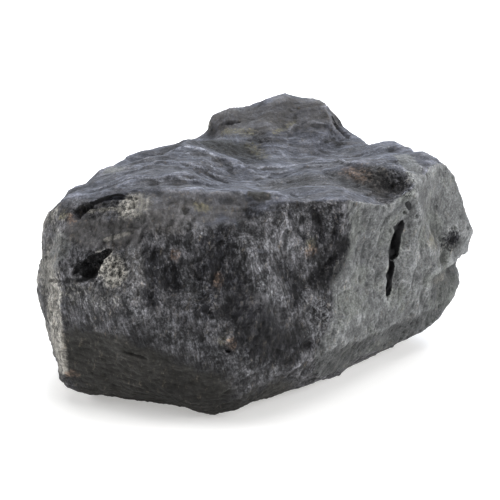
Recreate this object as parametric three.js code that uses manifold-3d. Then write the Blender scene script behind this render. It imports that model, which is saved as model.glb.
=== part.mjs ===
// A lodestone: a fist-sized, blocky lump of natural magnetite, resting on the floor.
//
// The stone is one solid. Its corners and ridge lines are set by hand, and the facets between them
// are found from the corners' directions seen from the stone's heart. The facets are divided to a
// fine grain, their edges are worn blunt, and the skin is roughened into shell-shaped breaks. Last,
// the clefts are cut out and the foot is cut flat where the stone rests.
//
// Millimetres, +Z up, +X to the right and -Y towards the front. The origin is the middle of the
// stone's footprint box, on the floor.

import * as THREE from "three";
import { ImprovedNoise } from "three/addons/math/ImprovedNoise.js";
import { ConvexHull } from "three/addons/math/ConvexHull.js";
import { mergeVertices } from "three/addons/utils/BufferGeometryUtils.js";
import Module from "manifold-3d";

// ---------------------------------------------------------------------------------------------
// Driving dimensions
// ---------------------------------------------------------------------------------------------

const WIDTH = 102; // the stone's breadth along X, before it is roughened
const CORNERS_WIDTH = 101.5; // the breadth that every position below is written for
const UNIT = WIDTH / CORNERS_WIDTH; // scales the whole stone

const GRAIN = 4.4; // the longest edge left in a plain facet
const WEAR = 1; // how many times the edges are rubbed blunt
const SWELL = { size: 26, height: 1 }; // slow waves over a whole facet
const SHELL = { size: 15, height: 2.6 }; // shell-shaped breaks with sharp rims
const CHIP = { size: 7, height: 0.9 }; // small breaks, as fine as the grain can show
const MEAN = 0.3; // a shell's mean rise, which is taken off so that the stone keeps its size
const BEND = 0.35; // how far the rims of the shells wander, in shells
const RIM = { breadth: 1.5, small: 5, share: 0.45, finest: 1.9 }; // the finer grain at the bowls
const PROUD = 1.6; // how far a cutter stands out of the surface that it opens

// The point that every part of the surface can be seen from
const HEART = [-2, -2, 26];

// ---------------------------------------------------------------------------------------------
// The stone's corners, ridge line by ridge line
// ---------------------------------------------------------------------------------------------

const RIDGES = {
  // the lower rim, where the sides turn under: from the left foot, past the near toe, to the right end
  toe: [
    [-46, -27, 4.5], [-43.5, -28.5, 2], [-37.5, -30, 1.5], [-31, -33, 4.5], [-25, -35.5, 5.2],
    [-18, -37, 3.4], [-11, -38, 1.5], [-5.5, -37.5, 2], [4, -29.5, 3.4], [15.5, -20.5, 4.2],
    [28, -8.5, 4.8], [37.5, -0.5, 5.5], [43, 3, 7.5], [47.5, 8.5, 10.5],
  ],
  // the knee, a blunt edge that falls from the left to the near toe; the belly folds in below it
  knee: [
    [-44, -31.5, 22], [-35.5, -37, 23.5], [-29, -40, 23.5], [-24, -42, 21],
    [-17.5, -43.5, 18.5], [-11, -44.5, 16], [-3, -42.5, 10],
  ],
  belly: [[-35.5, -33.5, 13], [-23.5, -39, 12], [-12.5, -41, 8]],
  // the step above the knee on the left
  step: [[-43.5, -31, 28.5], [-35.5, -36, 31.5], [-29.5, -39, 31.5]],
  // the narrow upright strip at the left, and the stone's outermost point there
  strip: [
    [-44.5, -30, 15], [-44.5, -28.5, 7], [-52.2, -18, 23], [-48.8, -19, 10], [-49.4, -19, 30.5],
    [-50.2, -17, 36.5], [-49.4, -15, 41], [-44.5, -29.5, 34], [-44, -27.5, 39.5],
  ],
  // the long bevel under the right face
  bevel: [[6, -36, 12], [15.5, -27.5, 12.5], [25, -17.5, 12], [33.5, -8, 11.5], [42, 2, 11.5]],
  // the brow, the front edge of the top
  brow: [
    [-44.5, -22.5, 45], [-40.5, -24.5, 47], [-35.5, -27, 49], [-25, -28, 50], [-14.5, -27.5, 50],
    [-6, -26, 49.5], [1.5, -28, 49.5], [10.5, -30, 49], [18, -30, 48.5],
  ],
  front: [
    [-33, -32, 38.5], [-26, -34.5, 37.5], [-24.5, -39, 29], [-21.5, -34, 36.5], [-20.5, -37.5, 28],
    [-14.5, -31.5, 41], [-11, -37.5, 32.5], [-2.5, -40.5, 22.5], [1.5, -34.5, 40.5],
    [1.5, -37.5, 30.5], [-12.5, -43, 19],
  ],
  // the near upright corner, between the front and the right face
  corner: [[18.5, -26.5, 43], [19, -26, 37.5], [15.5, -28, 30.5], [9.5, -32.5, 26], [12, -31, 17.5]],
  cheek: [[28, -15.5, 34.5], [25, -19, 23.5], [28.5, -16.5, 42.5], [39.5, -3, 32], [38.5, -3, 17.5]],
  // the right end, with the step that sets off its lower block
  end: [
    [33.5, 3, 48], [39, 5.5, 49], [43, 5.5, 48], [46.6, 10, 42], [49.2, 11.5, 33],
    [51.6, 13, 26], [51.4, 15, 20], [48.4, 15, 17.4], [49, 14, 12.5], [42.5, 4, 20.5],
  ],
  // the top, right of the hollow
  rightLobe: [
    [32, 19, 48], [36.5, 11.5, 47.5], [26, 21, 46], [21.5, 14, 45.5], [26, -5.5, 48],
    [33.5, -13.5, 46], [19, -3.5, 49], [13, -4.5, 47.5], [30.5, 6.5, 46.5], [24.5, 9, 46],
  ],
  // the top, left of the hollow: its outer edge, then its crest
  leftLobe: [
    [-44, -19.5, 46], [-39.5, -7, 46.2], [-35, 1.5, 45.8], [-27.5, 9.5, 47.6], [-22, 8, 48.8],
    [-17, 3, 51.5], [-11, -3.5, 51.5], [-6.5, -6.5, 49.5], [-30.5, -19, 50.5], [-17, -19, 52],
  ],
  // the hollow behind the brow, and the valley that runs from it to the back right
  valley: [[-4.5, -12.5, 47], [-4, 1, 46], [4, -2, 46], [11.5, 10.5, 46], [18, 20, 45], [23.5, 29.5, 44.5]],
  // the lump at the back, from its left foot over the peak to its right foot, then its front slope
  lump: [
    [-20, 17, 48], [-13.5, 22, 48], [-13, 24.5, 48], [-12.4, 26, 52.6], [-8, 27.5, 53.8],
    [-2, 28.5, 54.5], [1.5, 28, 54.6], [5, 27.5, 56.8], [9, 27, 55], [14.6, 27, 55.2],
    [17.2, 27, 52], [20, 28, 47.8], [23, 28, 45.4],
    [-9.5, 21.5, 50], [-7, 15, 48.5], [-0.5, 19, 51], [9.5, 20, 51], [0, 9, 46.5],
    [17, 23, 51], [7, 14, 47], [20, 25, 46],
    [-4, 36, 49], [8, 37, 51], [17, 35, 45],
  ],
  // the back, from its upper edge down
  back: [
    [-49, -4, 34], [-46, 12, 32], [-40, 13, 37], [-29, 22, 39], [-16, 33, 44],
    [0, 43, 38], [20, 41, 36], [32, 33, 38], [42, 23, 40],
    [-24, 33, 28], [-4, 44, 24], [28, 40, 20], [47, 26, 24],
    [-50, -6, 19], [-47, 12, 14], [-32, 30, 14], [0, 38, 8], [26, 34, 7], [43, 22, 10],
    [-47, -2, 7], [-34, 18, 4],
  ],
  // the underside, a little below the floor, so that the flat cut takes all of it
  foot: [
    [-11, -32, -2], [-38, -23, -2], [-37, 4, -2], [-12, 28, -2], [18, 27, -2],
    [31, 8, -2], [12, -16, -2], [-6, 0, -2],
  ],
};

// ---------------------------------------------------------------------------------------------
// What is broken out of it
// ---------------------------------------------------------------------------------------------

// Bowls in the skin: the middle, the half sizes along X, Y and Z, and how deep the middle is sunk
const BOWLS = [
  { at: [9, -30, 39], half: [10, 12, 13], depth: 3.2 }, // right of the front, inside the corner
  { at: [-11, -37, 31], half: [11, 9, 10], depth: 1.6 }, // the middle of the front
  { at: [-20.5, -36, 31], half: [3.6, 6, 8], depth: 1.4 }, // the slot at its left
  { at: [-32, -36.5, 34], half: [6, 6, 6], depth: 1.3 }, // the wall beside the lower ledge
  { at: [-1, -25, 47], half: [3, 4, 3.2], depth: 1.4 }, // the notch in the brow
  { at: [11, -31, 14.5], half: [5, 6, 5], depth: 1.2 },
  { at: [30.2, -11, 46.5], half: [4.4, 4, 4.2], depth: 3 }, // the round pit at the top right
  { at: [42, -1, 34], half: [7, 7, 7], depth: 1.2 },
  { at: [47.4, 7.2, 24.6], half: [3, 3, 2.6], depth: 2 }, // the small pit at the right end
  { at: [45.5, 7, 17.5], half: [6, 6, 3], depth: 1.4 }, // the step above the lower block
  { at: [6, 44, 31], half: [9, 8, 8], depth: 2 },
  { at: [-50, 2, 24], half: [7, 9, 9], depth: 2 },
  { at: [-28, 31, 22], half: [10, 9, 8], depth: 2.2 },
  { at: [39, 33, 26], half: [9, 9, 8], depth: 2.2 },
];

// Clefts: the way out of the surface, then stations along the cleft. A station is its place on the
// surface, how far the cleft reaches to either side of it, and how deep it goes. Both ends taper off.
const CLEFTS = [
  {
    // the upright gash in the right face, in two blades
    out: [0.72, -0.69, 0],
    ends: [[32.2, -11.3, 37.6], [28.9, -14.2, 18.8]],
    stations: [
      [[31.9, -11.8, 35.6], 0.5, 0.5, 3], [[31.5, -12.1, 33.4], 1, 0.9, 5],
      [[31, -12.4, 31.2], 1, 0.9, 5], [[30.6, -12.8, 29.4], 0.6, 0.5, 3.5],
      [[30.1, -13.1, 28.2], 0.4, 0.3, 2.5], [[29.9, -13.2, 26.6], 0.4, 0.6, 3.5],
      [[29.5, -13.5, 24.6], 0.6, 0.5, 4], [[29.2, -13.9, 22], 0.8, 0.7, 4],
    ],
  },
  {
    // the upper ledge on the left: a thin roof under the brow over a broad floor
    out: [-0.25, -0.93, 0.25],
    ends: [[-42, -25.8, 42.8], [-23.6, -28, 48.8]],
    stations: [
      [[-41, -26, 44], 0.2, 1.2, 2.2], [[-39, -26.8, 45.6], 0.3, 2.6, 3.2],
      [[-36.5, -27.4, 47.4], 0.2, 3.6, 3], [[-33.5, -27.8, 48.6], 0.3, 4.4, 3.4],
      [[-30.5, -28, 49], 0.3, 4.2, 2.6], [[-27, -28, 49.2], 0.1, 3, 1.6],
    ],
  },
  {
    // the lower ledge on the left, deepest at its left end
    out: [-0.35, -0.9, 0.2],
    ends: [[-42, -31.4, 30.6], [-31.6, -34.4, 38.8]],
    stations: [
      [[-41, -31.8, 32.4], 0.3, 0.8, 2.6], [[-39.6, -32, 34.6], 0.3, 3, 4.2],
      [[-37.2, -32.8, 36.4], 0.3, 4.6, 4.4], [[-34.6, -33.4, 37.6], 0.2, 3.6, 2.8],
    ],
  },
  {
    // the groove that undercuts the left of the back lump
    out: [-0.5, -0.8, 0.3],
    ends: [[-14, 22.5, 49.8], [-3, 20.6, 51.8]],
    stations: [[[-11, 21.8, 50.4], 0.6, 0.7, 2.2], [[-7, 21.2, 51.2], 0.4, 0.7, 1.8]],
  },
  {
    // the crack down the right of the back lump
    out: [0.75, -0.5, 0.45],
    ends: [[16.6, 26, 53.4], [21.4, 27.2, 46.2]],
    stations: [[[18.2, 26.2, 51.4], 0.5, 0.5, 1.8], [[19.8, 26.6, 49], 0.6, 0.4, 1.6]],
  },
  {
    // a crooked break down the left of the back
    out: [-0.62, 0.78, 0],
    ends: [[-33, 20.5, 41], [-15, 38, 11]],
    stations: [
      [[-31.4, 22.5, 37.6], 1.4, 0.3, 2.4], [[-31, 24.5, 33.2], 2.8, 0.3, 3.6],
      [[-27.6, 29.5, 30], 1.4, 0.3, 2.6], [[-25.4, 32, 25.4], 3, 0.4, 3.8],
      [[-20, 36, 21.4], 1.8, 0.2, 2.6], [[-18.6, 36.6, 16.4], 1.2, 0.2, 1.8],
    ],
  },
];

// Worn edges of the beds on the top left: low steps that fan out to the left from the hollow
const BEDS = {
  fanX: -4, // where the steps run together
  fanY: -13,
  narrow: 4.2, // from one step to the next there
  wide: 9.5, // and from reach further left
  reach: 16,
  height: 0.6, // of a step, up and down
  bend: 0.3, // how far a step wanders, in steps
  grain: 2.4, // the longest edge left in them
  lowest: 43, // they are found above this height
  backmost: 12, // and in front of this
  fade: [9, 5, 3], // and die out over these lengths along X, Y and Z
};

// ---------------------------------------------------------------------------------------------
// Facets between the corners
// ---------------------------------------------------------------------------------------------

const toVector = ([x, y, z]) => new THREE.Vector3(x, y, z).multiplyScalar(UNIT);
const { clamp, lerp, smoothstep } = THREE.MathUtils;

// Joins the corners with triangles: seen from the heart, neighbouring corners share a facet.
function facetsOf(corners) {
  const heart = toVector(HEART);
  const directions = corners.map((corner) => corner.clone().sub(heart).normalize());
  const indexOf = new Map(directions.map((direction, i) => [direction, i]));
  const hull = new ConvexHull().setFromPoints(directions);
  return hull.faces.map((face) => {
    const first = face.edge;
    return [first, first.next, first.next.next].map((edge) => indexOf.get(edge.head().point));
  });
}

// How near a point is to a bowl: 0 in its middle, 1 on its rim.
function rimDistance(point, { at, half }) {
  return Math.hypot(...["x", "y", "z"].map((axis, i) => (point[axis] / UNIT - at[i]) / half[i]));
}

// 1 where the beds show, on the top left, falling to 0 around it.
function bedded(point) {
  const [x, y, z] = point.toArray().map((value) => value / UNIT);
  const inside = [BEDS.fanX - x, BEDS.backmost - y, z - BEDS.lowest];
  return inside.reduce((share, length, i) => share * clamp(length / BEDS.fade[i], 0, 1), 1);
}

// The longest edge allowed at a point: finer on the beds, across the rims of the bowls and all
// through the small ones.
function grainAt(point) {
  const inBowls = BOWLS.map((bowl) => {
    const size = Math.min(...bowl.half);
    const distance = rimDistance(point, bowl);
    const onRim = Math.abs(distance - 1) * size < RIM.breadth;
    const inSmall = size < RIM.small && distance < 1;
    return onRim || inSmall ? Math.max(RIM.share * size, RIM.finest) : GRAIN;
  });
  return UNIT * Math.min(GRAIN, bedded(point) > 0 ? BEDS.grain : GRAIN, ...inBowls);
}

const edgeKey = (a, b) => (a < b ? `${a}_${b}` : `${b}_${a}`);

// The triangle, turned so that its first two points are the ends of its longest edge.
function longestEdgeFirst(points, [a, b, c]) {
  const ab = points[a].distanceTo(points[b]);
  const bc = points[b].distanceTo(points[c]);
  const ca = points[c].distanceTo(points[a]);
  if (ab >= bc && ab >= ca) return [a, b, c];
  return bc >= ca ? [b, c, a] : [c, a, b];
}

// Halves every edge that is too long for where it lies, over and over, until none is. A triangle
// that is cut is always cut across its longest edge first, so none of them grows thin.
function divide(points, triangles) {
  const middleOf = (a, b) => points[a].clone().lerp(points[b], 0.5);
  let current = triangles.map((triangle) => longestEdgeFirst(points, triangle));
  for (;;) {
    const middles = new Map();
    const isMarked = (a, b) => middles.has(edgeKey(a, b));
    const mark = ([a, b]) => middles.set(edgeKey(a, b), -1);
    const isLong = ([a, b]) => points[a].distanceTo(points[b]) > grainAt(middleOf(a, b));
    current.filter(isLong).forEach(mark);
    if (!middles.size) return current;
    for (let before = -1; before !== middles.size; ) {
      before = middles.size;
      current.filter(([a, b, c]) => isMarked(b, c) || isMarked(c, a)).forEach(mark);
    }
    for (const key of middles.keys()) {
      const [a, b] = key.split("_").map(Number);
      middles.set(key, points.push(middleOf(a, b)) - 1);
    }
    const halve = ([a, b, c]) => {
      const m = middles.get(edgeKey(a, b));
      return m === undefined ? [[a, b, c]] : [[b, c, m], [c, a, m]];
    };
    const pieces = current.flatMap((triangle) => {
      const halves = halve(triangle);
      return halves.length === 1 ? halves : halves.flatMap(halve);
    });
    current = pieces.map((triangle) => longestEdgeFirst(points, triangle));
  }
}

// ---------------------------------------------------------------------------------------------
// The broken skin
// ---------------------------------------------------------------------------------------------

// Rubs the edges blunt: every point moves half way to the middle of its neighbours, and then as
// much again the other way, which takes off the edges but leaves the stone its size.
function wear(points, triangles) {
  const neighbours = points.map(() => new Set());
  for (const [a, b, c] of triangles) {
    neighbours[a].add(b).add(c);
    neighbours[b].add(c).add(a);
    neighbours[c].add(a).add(b);
  }
  const move = (from, share) =>
    from.map((point, i) => {
      const middle = new THREE.Vector3();
      neighbours[i].forEach((j) => middle.add(from[j]));
      return point.clone().lerp(middle.divideScalar(neighbours[i].size), share);
    });
  let worn = points;
  for (let i = 0; i < WEAR; i++) worn = move(move(worn, 0.5), -0.5);
  return worn;
}

const noise = new ImprovedNoise();

// Waves of one size, with half-size waves on them: about -1 to 1.
function waves(point, size) {
  const p = point.clone().divideScalar(size * UNIT);
  const q = p.clone().multiplyScalar(2.03);
  return noise.noise(p.x, p.y, p.z) + 0.5 * noise.noise(q.x + 7.3, q.y + 1.9, q.z + 4.1);
}

// A fixed pick from 0 to 1 for a whole-number cell and a channel.
function pick(x, y, z, channel) {
  let h = Math.imul(x, 374761393) ^ Math.imul(y, 668265263) ^ Math.imul(z, 1274126177);
  h = Math.imul(h ^ (h >>> 13) ^ Math.imul(channel + 1, 461845907), 1103515245);
  h = Math.imul(h ^ (h >>> 15), 2246822519);
  return ((h ^ (h >>> 16)) >>> 0) / 4294967296;
}

// Shells side by side: lowest in the middle of each, and rising to sharp rims between them.
function shells(point, size) {
  const p = point.clone().divideScalar(size * UNIT);
  const bent = [0, 5.2, 9.7].map((shift) => noise.noise(p.x + shift, p.y - shift, p.z + shift));
  p.addScaledVector(new THREE.Vector3(...bent), BEND);
  const [cx, cy, cz] = p.toArray().map(Math.floor);
  let nearest = Infinity;
  for (let x = cx - 1; x <= cx + 1; x++)
    for (let y = cy - 1; y <= cy + 1; y++)
      for (let z = cz - 1; z <= cz + 1; z++) {
        const middle = new THREE.Vector3(x + pick(x, y, z, 0), y + pick(x, y, z, 1), z + pick(x, y, z, 2));
        nearest = Math.min(nearest, p.distanceToSquared(middle));
      }
  return nearest - MEAN;
}

// The low steps of the beds: each rises slowly towards the back and falls more quickly.
function beds(point) {
  const [x, y] = point.toArray().map((value) => value / UNIT);
  const fan = smoothstep(BEDS.fanX - x, 0, BEDS.reach);
  const steps = (y - BEDS.fanY) / lerp(BEDS.narrow, BEDS.wide, fan) + BEDS.bend * waves(point, BEDS.reach);
  const turn = 2 * Math.PI * steps;
  return Math.sin(turn + 0.7 * Math.sin(turn));
}

// How far the skin stands off the worn facets.
function relief(point) {
  const skin =
    SWELL.height * waves(point, SWELL.size) +
    SHELL.height * shells(point, SHELL.size) +
    CHIP.height * shells(point, CHIP.size) +
    BEDS.height * bedded(point) * beds(point);
  const sunk = BOWLS.map((bowl) => bowl.depth * Math.max(0, 1 - rimDistance(point, bowl) ** 2));
  return UNIT * (skin - sunk.reduce((sum, depth) => sum + depth, 0));
}

function roughen(points, triangles) {
  const geometry = new THREE.BufferGeometry().setFromPoints(points).setIndex(triangles.flat());
  geometry.computeVertexNormals();
  const normals = geometry.attributes.normal;
  return points.map((point, i) => {
    const normal = new THREE.Vector3().fromBufferAttribute(normals, i);
    return point.clone().addScaledVector(normal, relief(point));
  });
}

// ---------------------------------------------------------------------------------------------
// Cutters
// ---------------------------------------------------------------------------------------------

// A wedge along the stations: three-sided, with its sharp side in the stone.
function cleft({ out, ends, stations }) {
  const outwards = new THREE.Vector3(...out).normalize();
  const [start, end] = ends.map((tip) => toVector(tip).addScaledVector(outwards, PROUD * UNIT));
  const along = end.clone().sub(start).normalize();
  const across = new THREE.Vector3().crossVectors(outwards, along).normalize();
  const sections = stations.flatMap(([at, above, below, depth]) => {
    const spread = (depth + PROUD) / depth;
    return [[above * spread, PROUD], [0, -depth], [-below * spread, PROUD]].map(([side, rise]) =>
      toVector(at).addScaledVector(across, side * UNIT).addScaledVector(outwards, rise * UNIT),
    );
  });
  const [first, last] = [0, 3 * (stations.length - 1)];
  const [startTip, endTip] = [sections.length, sections.length + 1];
  const faces = [];
  for (let side = 0; side < 3; side++) {
    const next = (side + 1) % 3;
    faces.push([startTip, first + side, first + next], [endTip, last + next, last + side]);
    for (let from = first; from < last; from += 3)
      faces.push([from + side, from + 3 + side, from + next], [from + next, from + 3 + side, from + 3 + next]);
  }
  return new THREE.BufferGeometry().setFromPoints([...sections, start, end]).setIndex(faces.flat());
}

// ---------------------------------------------------------------------------------------------
// The solid
// ---------------------------------------------------------------------------------------------

const wasm = await Module();
wasm.setup();

function toSolid(geometry) {
  const bare = geometry.clone();
  bare.deleteAttribute("normal");
  bare.deleteAttribute("uv");
  const merged = mergeVertices(bare, 1e-4);
  return new wasm.Manifold(
    new wasm.Mesh({
      numProp: 3,
      vertProperties: merged.attributes.position.array,
      triVerts: new Uint32Array(merged.index.array),
    }),
  );
}

function toGeometry(solid) {
  const { vertProperties, triVerts } = solid.getMesh();
  const geometry = new THREE.BufferGeometry();
  geometry.setAttribute("position", new THREE.BufferAttribute(vertProperties, 3));
  geometry.setIndex(new THREE.BufferAttribute(triVerts, 1));
  return geometry;
}

function lodestone() {
  const points = Object.values(RIDGES).flat().map(toVector);
  const triangles = divide(points, facetsOf(points));
  const broken = new THREE.BufferGeometry();
  broken.setFromPoints(roughen(wear(points, triangles), triangles)).setIndex(triangles.flat());

  const floor = new THREE.BoxGeometry(4 * WIDTH, 4 * WIDTH, WIDTH).translate(0, 0, -WIDTH / 2);
  const cutters = [...CLEFTS.map(cleft), floor];
  const solid = cutters.reduce((stone, cutter) => stone.subtract(toSolid(cutter)), toSolid(broken));

  const geometry = toGeometry(solid);
  geometry.computeBoundingBox();
  const middle = geometry.boundingBox.getCenter(new THREE.Vector3());
  geometry.translate(-middle.x, -middle.y, 0);
  geometry.computeVertexNormals();
  return geometry;
}

const magnetite = new THREE.MeshStandardMaterial({ color: 0x3b3c40, roughness: 0.6, metalness: 0.15 });

const stone = new THREE.Mesh(lodestone(), magnetite);
stone.name = "lodestone";

const group = new THREE.Group();
group.add(stone);
export default group;
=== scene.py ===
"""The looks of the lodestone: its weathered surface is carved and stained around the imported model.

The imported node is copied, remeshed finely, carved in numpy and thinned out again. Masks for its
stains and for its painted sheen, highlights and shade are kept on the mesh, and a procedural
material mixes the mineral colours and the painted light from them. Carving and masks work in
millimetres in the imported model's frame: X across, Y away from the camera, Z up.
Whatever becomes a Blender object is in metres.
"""

from itertools import product
from math import cos, radians, sin
from types import SimpleNamespace

import bpy
import numpy as np
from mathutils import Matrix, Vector
from mathutils.bvhtree import BVHTree


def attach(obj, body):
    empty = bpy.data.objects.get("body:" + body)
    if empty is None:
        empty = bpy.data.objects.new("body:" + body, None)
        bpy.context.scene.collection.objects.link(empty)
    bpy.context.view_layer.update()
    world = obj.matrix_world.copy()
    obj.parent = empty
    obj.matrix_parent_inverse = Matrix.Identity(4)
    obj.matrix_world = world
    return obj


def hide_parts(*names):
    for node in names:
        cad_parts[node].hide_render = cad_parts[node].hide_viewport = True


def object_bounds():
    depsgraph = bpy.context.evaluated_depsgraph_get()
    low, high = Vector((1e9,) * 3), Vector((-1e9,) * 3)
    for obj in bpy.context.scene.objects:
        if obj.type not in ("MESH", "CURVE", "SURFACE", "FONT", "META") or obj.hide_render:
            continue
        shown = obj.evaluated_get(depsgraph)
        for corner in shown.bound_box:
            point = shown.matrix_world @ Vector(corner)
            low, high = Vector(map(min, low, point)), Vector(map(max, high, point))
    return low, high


NODE = "lodestone"
MM = 0.001
VOXEL = 0.38  # of the fine mesh before carving
TRIANGLES = 190000  # of the finished piece
DEEP_CUT = 0.35  # from here on a cut is checked against the stone's thickness
CUT_SHARE = 0.4  # of the thickness that a cut may take away
DEEPEST_CUT = 4.0
PULL_IN = 0.15  # of the whole skin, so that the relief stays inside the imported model's box

# --- carving: where things are on the stone, in millimetres ---

# Sharp edges. Each rises softly behind its line and drops on the side it looks towards:
# the line, that side, its height, its breadth behind the line and its breadth in front.
FRONT, DOWN, WEST, EAST = (0, -1, 0), (0, -0.3, -1), (-1, 0, 0), (1, 0, 0)
EDGES = [
    # beds of the top left lobe, from the back to the brow
    ([(-28.4, 5.3, 48.1), (-24, 3.8, 49.2), (-19.3, -0.8, 51.4), (-15.5, -2.5, 52.1),
      (-10.8, -7.1, 51.8), (-8.1, -8.1, 50.7), (-6.2, -9.8, 49.3), (-5.1, -13, 48)],
     FRONT, 0.4, 2.4, 0.4),
    ([(-18.7, -4.3, 51), (-15.9, -6.4, 51.1), (-13.2, -10.4, 51.6), (-10.3, -11.8, 50.2),
      (-7.6, -12.7, 48.6)], FRONT, 0.25, 1.6, 0.35),
    ([(-34.8, -7.1, 47.2), (-29.7, -11.7, 49.2), (-25.1, -13, 50.7), (-20.7, -11.1, 51.2),
      (-15.2, -13.3, 51.1), (-11.6, -13.7, 49.4), (-8, -14.8, 47.8), (-5.3, -16.1, 47.5)],
     FRONT, 0.4, 2, 0.35),
    ([(-39.8, -19.4, 46.4), (-33.6, -20.2, 49), (-26.7, -22, 50.2), (-22.3, -22.9, 50.4),
      (-18, -22.1, 50.6), (-13.2, -20.6, 49.9), (-8.8, -18.6, 48.1)], FRONT, 0.3, 1.8, 0.35),
    # beds of the valley and of the top right lobe
    ([(-4.4, -9.1, 48.5), (1.1, -1.7, 47.1), (6.6, -0.7, 47.3), (11.3, 1.1, 47.2), (16, 0.9, 47.7),
      (20.4, -2.9, 48.7), (24.8, -5.9, 48.9), (29.5, -4.1, 49), (34.1, 1.1, 48.9)],
     FRONT, 0.4, 2.2, 0.4),
    ([(-3.5, -12.6, 47.1), (2, -4.8, 46.6), (6.6, -3.8, 47.2), (11.2, -3.5, 47.9),
      (15.9, -1.4, 48)], FRONT, 0.25, 1.6, 0.35),
    ([(-2.2, -16.9, 47.3), (1.9, -11, 46.4), (6.5, -10.7, 46.5), (11, -11.6, 47.3),
      (15.5, -10.8, 47.5), (19, -9.2, 46.8)], FRONT, 0.35, 1.8, 0.35),
    ([(1, -20, 47.3), (6.5, -17.5, 46.8), (11.5, -18.5, 47.2), (16.5, -17, 46.9)],
     FRONT, 0.25, 1.6, 0.35),
    ([(16.5, 6, 47.2), (21.7, 11.9, 45.9), (25, 12.4, 46.5), (31.9, 11.7, 47.4),
      (35.3, 10.5, 47.1)], FRONT, 0.4, 2, 0.4),
    # the brow, the rim of the front bowl, the corner of the left strip
    ([(-24.3, -28.8, 49.7), (-11.3, -28, 49.5), (0, -29.2, 49), (8.3, -28.3, 47.8),
      (18, -30.9, 47.9)], DOWN, 0.3, 1.4, 0.6),
    ([(18.1, -29.8, 44.8), (19, -26.1, 40.1), (19.1, -25.7, 36.9), (18.2, -26.5, 34.8),
      (16.8, -27.6, 33.2), (13.9, -29.7, 29.7), (11, -32, 27.3), (9.2, -33.6, 25.5),
      (8.4, -34.5, 23.5)], WEST, 0.6, 1.6, 0.7),
    ([(-44.4, -30.6, 28.8), (-44, -31.4, 24), (-44, -31.4, 19), (-44.6, -30.8, 14),
      (-44.9, -29.6, 7)], EAST, 0.5, 1.2, 0.6),
    # the lips and roofs of the two ledges at the left
    ([(-41.6, -26.9, 44), (-38.6, -26.4, 46.6), (-36, -25.6, 47.7), (-33.3, -26, 48.6),
      (-30.5, -27.6, 49.6), (-27.8, -28.4, 50), (-25.2, -28.6, 50)], DOWN, 0.25, 1.2, 0.4),
    ([(-40.2, -28, 42.6), (-37.5, -28.8, 42.6), (-34.1, -30.7, 43.5), (-29.7, -31.1, 44.6),
      (-24.7, -31.4, 46.5)], DOWN, 0.4, 1.2, 0.6),
    ([(-40.2, -32.4, 34.8), (-37.4, -32.4, 36.6), (-34.5, -33, 38.2), (-32.1, -33.4, 38.8)],
     DOWN, 0.4, 1.4, 0.5),
    ([(-50, -20.4, 26.2), (-44.3, -30.9, 29.9), (-39.7, -33.9, 30.8), (-35.1, -35.6, 31.7),
      (-30.7, -37.4, 32.1)], DOWN, 0.5, 0.9, 0.8),
    ([(-44.2, -29.5, 37.6), (-39.7, -30.8, 37.5), (-35.2, -32.4, 38.9), (-30.8, -32.7, 40.1),
      (-27.5, -32.9, 41.5)], DOWN, 0.3, 0.9, 0.6),
    # the round pit's rim, the bevel's upper edge, the step at the right end
    ([(25.7, -7.2, 48.2), (28.2, -5.9, 48.7), (31.6, -5, 48.5), (33.9, -7.5, 47.6),
      (34.6, -11.5, 46), (33.9, -15, 44.2)], WEST, 0.5, 1, 0.7),
    ([(-1.5, -40.2, 8.4), (6.2, -37, 11.3), (15.2, -30.5, 13.3), (23.5, -21.8, 13.1),
      (32.4, -10, 11.8), (42.1, 1.6, 11.6)], DOWN, 0.45, 1.5, 0.8),
    ([(48.5, 13.1, 19.8), (45.1, 3.7, 21.5), (42.4, 0.1, 21), (39.6, -4.6, 21.8),
      (37, -7.4, 21.8)], DOWN, 0.7, 1.4, 0.6),
    # the back lump: the overhang at its left and the top of its smooth panel
    ([(-12.1, 21.8, 49.5), (-9.9, 21.3, 50.2), (-7.5, 22.3, 50.6), (-5.1, 20.7, 51.6)],
     DOWN, 0.35, 0.8, 0.4),
    ([(4.5, 14.9, 50.2), (8, 19.5, 50.9), (14.3, 21.3, 51.6), (16.7, 21.5, 50.8),
      (20.7, 22.3, 46.6)], FRONT, 0.5, 1, 0.5),
]
EDGE_BEND = (4, 0.8)  # the noise that bends their lines: its size and how far it pushes

# Edges that are worn round: the line and its breadth.
WORN = [
    # the knee over the belly
    ([(-43, -32.4, 21.6), (-39.9, -34.5, 22.3), (-35.2, -38, 23.7), (-28.8, -41.8, 24.1),
      (-24.1, -42.5, 21.1), (-17.7, -43.5, 18.3), (-10.8, -44.4, 15.4), (-3, -42.2, 9.5)], 3.6),
    # the top of the pale face
    ([(35.6, -12.2, 46.8), (37.4, -6.7, 46.9), (39.2, -2.5, 47.3), (41, 2.1, 47.6),
      (42.1, 4.3, 47.7)], 3),
    # the corner over the upper ledge
    ([(-31, -27.2, 49.4), (-27, -28.4, 49.8), (-23, -28.8, 49.8)], 1.5),
]

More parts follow.
